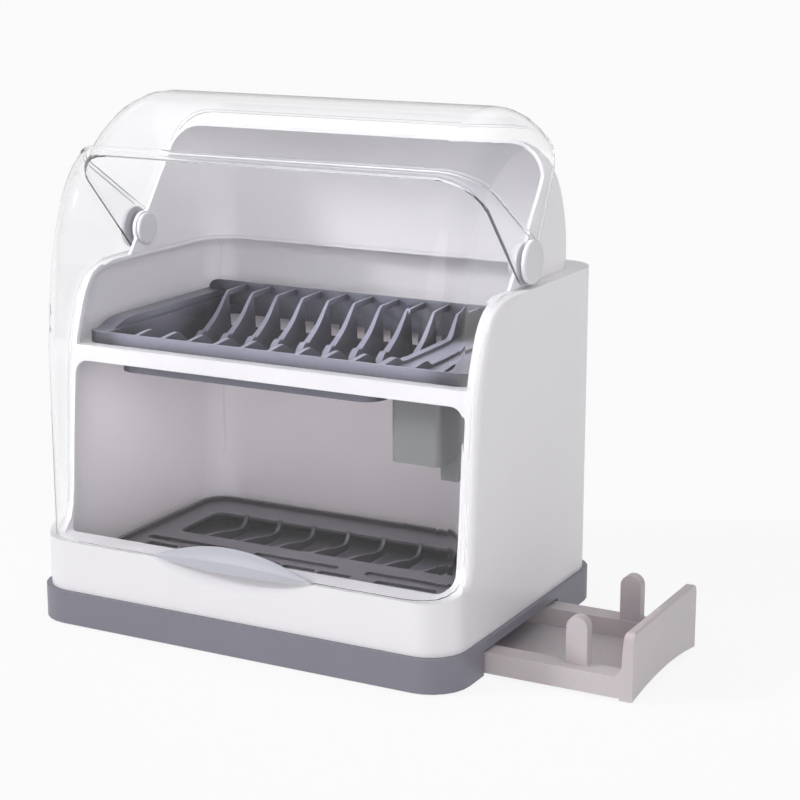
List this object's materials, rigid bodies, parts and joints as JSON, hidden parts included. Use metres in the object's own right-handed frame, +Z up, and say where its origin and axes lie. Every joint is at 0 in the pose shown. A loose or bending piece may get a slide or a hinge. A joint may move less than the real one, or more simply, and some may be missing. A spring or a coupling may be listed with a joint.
{
  "type": "dish rack",
  "caption": "Two-tier covered dish rack with a ribbed plate rack, telescoping clear covers, a cutlery holder and a slide-out side holder.",
  "frame": {"origin": "on the worktop, under the middle of the bounding box with the side holder pulled out as in the picture; the middle of the base lies 62.75 mm to its left and 2.6 mm behind it", "axes": "+X to the right towards the side holder, +Y to the back, +Z up; the visor faces -Y"},
  "size_m": [0.5314, 0.3022, 0.4439],
  "materials": {
    "base_grey": "satin moulded plastic",
    "foot_rubber": "matte rubber",
    "frosted_white": "translucent milky plastic",
    "body_white": "glossy moulded plastic",
    "clear_cover": "clear polished plastic",
    "pearl_white": "pearl satin plastic",
    "rack_grey": "satin moulded plastic",
    "rack_dark": "satin moulded plastic",
    "holder_grey": "satin moulded plastic"
  },
  "bodies": {
    "rack": {"water_base": "base_grey", "base_foot_front_left": "foot_rubber", "base_foot_front_right": "foot_rubber", "base_foot_rear_right": "foot_rubber", "base_foot_rear_left": "foot_rubber", "holder_channel": "base_grey", "housing": "body_white", "mid_shelf": "body_white", "upper_shell": "body_white", "pivot_knob_right": "pearl_white", "pivot_knob_left": "pearl_white", "pivot_pin_right": "holder_grey", "pivot_pin_left": "holder_grey", "inner_cap_right": "pearl_white", "inner_cap_left": "pearl_white"},
    "front_visor": {"visor": "clear_cover", "visor_handle": "pearl_white"},
    "middle_hood": {"hood": "clear_cover"},
    "side_drawer": {"side_holder": "frosted_white"},
    "cutlery_drawer": {"cutlery_holder": "holder_grey"},
    "plate_rack": {"upper_rack": "rack_grey"},
    "floor_rack": {"lower_rack": "rack_dark"}
  },
  "joints": [
    {"name": "visor_hinge", "type": "hinge", "parent": "rack", "child": "front_visor", "pos_m": [-0.06275, 0.0116, 0.321], "axis": [-1, 0, 0], "range_deg": [0, 115]},
    {"name": "hood_hinge", "type": "hinge", "parent": "rack", "child": "middle_hood", "pos_m": [-0.06275, 0.0116, 0.321], "axis": [-1, 0, 0], "range_deg": [0, 55]},
    {"name": "side_holder_slide", "type": "slide", "parent": "rack", "child": "side_drawer", "axis": [1, 0, 0], "range_m": [-0.062, 0]},
    {"name": "cutlery_holder_slide", "type": "slide", "parent": "rack", "child": "cutlery_drawer", "axis": [0, -1, 0], "range_m": [0, 0.07]},
    {"name": "upper_rack_lift", "type": "slide", "parent": "rack", "child": "plate_rack", "axis": [0, 0, 1], "range_m": [0, 0.035]},
    {"name": "lower_rack_lift", "type": "slide", "parent": "rack", "child": "floor_rack", "axis": [0, 0, 1], "range_m": [0, 0.06]}
  ]
}
